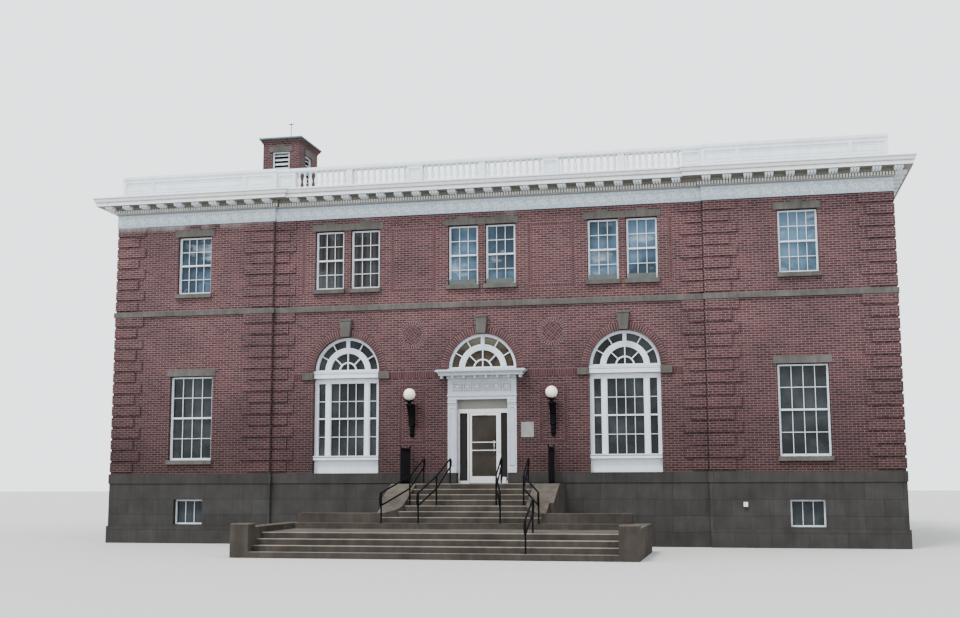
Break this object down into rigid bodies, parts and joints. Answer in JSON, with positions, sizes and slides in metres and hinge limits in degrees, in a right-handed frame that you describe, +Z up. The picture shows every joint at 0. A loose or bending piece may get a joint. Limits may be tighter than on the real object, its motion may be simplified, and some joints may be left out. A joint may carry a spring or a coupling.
{
  "type": "two-storey brick civic building",
  "caption": "Hollow brick civic building on a raised basement, with arched windows, a bracketed white cornice and balustrade, and a hinged glazed entrance door up a wide stair.",
  "frame": {"origin": "on the underside of the basement floor, at the middle of the plan, level with the pavement", "axes": "+Z up, -Y towards the street, +X to the right in a view from the street"},
  "size_m": [25.418, 23.586, 15.779],
  "materials": {
    "brick": "fired brick in lime mortar, weathered",
    "trim_stone": "smooth grey stone, weathered",
    "concrete": "cast concrete, worn and stained",
    "white_trim": "white oil paint",
    "white_wood": "white painted wood",
    "window_glass": "clear float glass, dark rooms behind",
    "bare_aluminium": "satin",
    "black_iron": "black paint",
    "opal_glass": "white opal",
    "green_metal": "dull green paint",
    "green_copper": "weathered copper",
    "roof_felt": "bituminous roofing felt"
  },
  "bodies": {
    "building": {"arch_stones": "trim_stone", "arched_window_frames": "white_wood", "back_cornice": "white_trim", "back_wall": "brick", "balusters": "white_trim", "balustrade_rails": "white_trim", "base_course": "trim_stone", "basement_back_wall": "concrete", "basement_floor": "concrete", "basement_front_wall": "concrete", "basement_side_walls": "concrete", "basement_windows": "window_glass", "belt_course": "trim_stone", "dentils": "white_trim", "door_hood": "white_wood", "door_surround": "white_wood", "end_piers": "concrete", "entrance_fanlight": "white_wood", "entrance_glass": "window_glass", "front_cornice": "white_trim", "front_wall_left": "brick", "front_wall_left_wing": "brick", "front_wall_right": "brick", "front_wall_right_wing": "brick", "ground_floor": "concrete", "handrails": "black_iron", "iron_guards": "black_iron", "lamp_brackets": "black_iron", "lamp_globes": "opal_glass", "left_wall": "brick", "lower_glass": "window_glass", "lower_steps": "concrete", "lower_window_frames": "white_wood", "modillions": "white_trim", "parapet": "white_trim", "quoins": "brick", "right_wall": "brick", "roof_deck": "roof_felt", "roof_rod": "black_iron", "side_cornices": "white_trim", "stack_cap": "green_copper", "stack_corbel": "brick", "stack_lintels": "trim_stone", "stack_louvres": "white_wood", "stair_walls": "concrete", "storefront_frame": "bare_aluminium", "upper_floor": "concrete", "upper_glass": "window_glass", "upper_steps": "concrete", "upper_window_frames": "white_wood", "vent_stack": "brick", "wall_over_entrance": "brick", "window_boxes": "green_metal", "window_heads": "trim_stone", "window_sills": "trim_stone"},
    "door": {"door_leaf": "bare_aluminium", "door_glass": "window_glass", "door_bars": "bare_aluminium"}
  },
  "joints": [
    {"name": "front_door", "type": "hinge", "parent": "building", "child": "door", "pos_m": [-0.4155, -7.9775, 1.836], "axis": [0, 0, -1], "range_deg": [0, 90]}
  ]
}
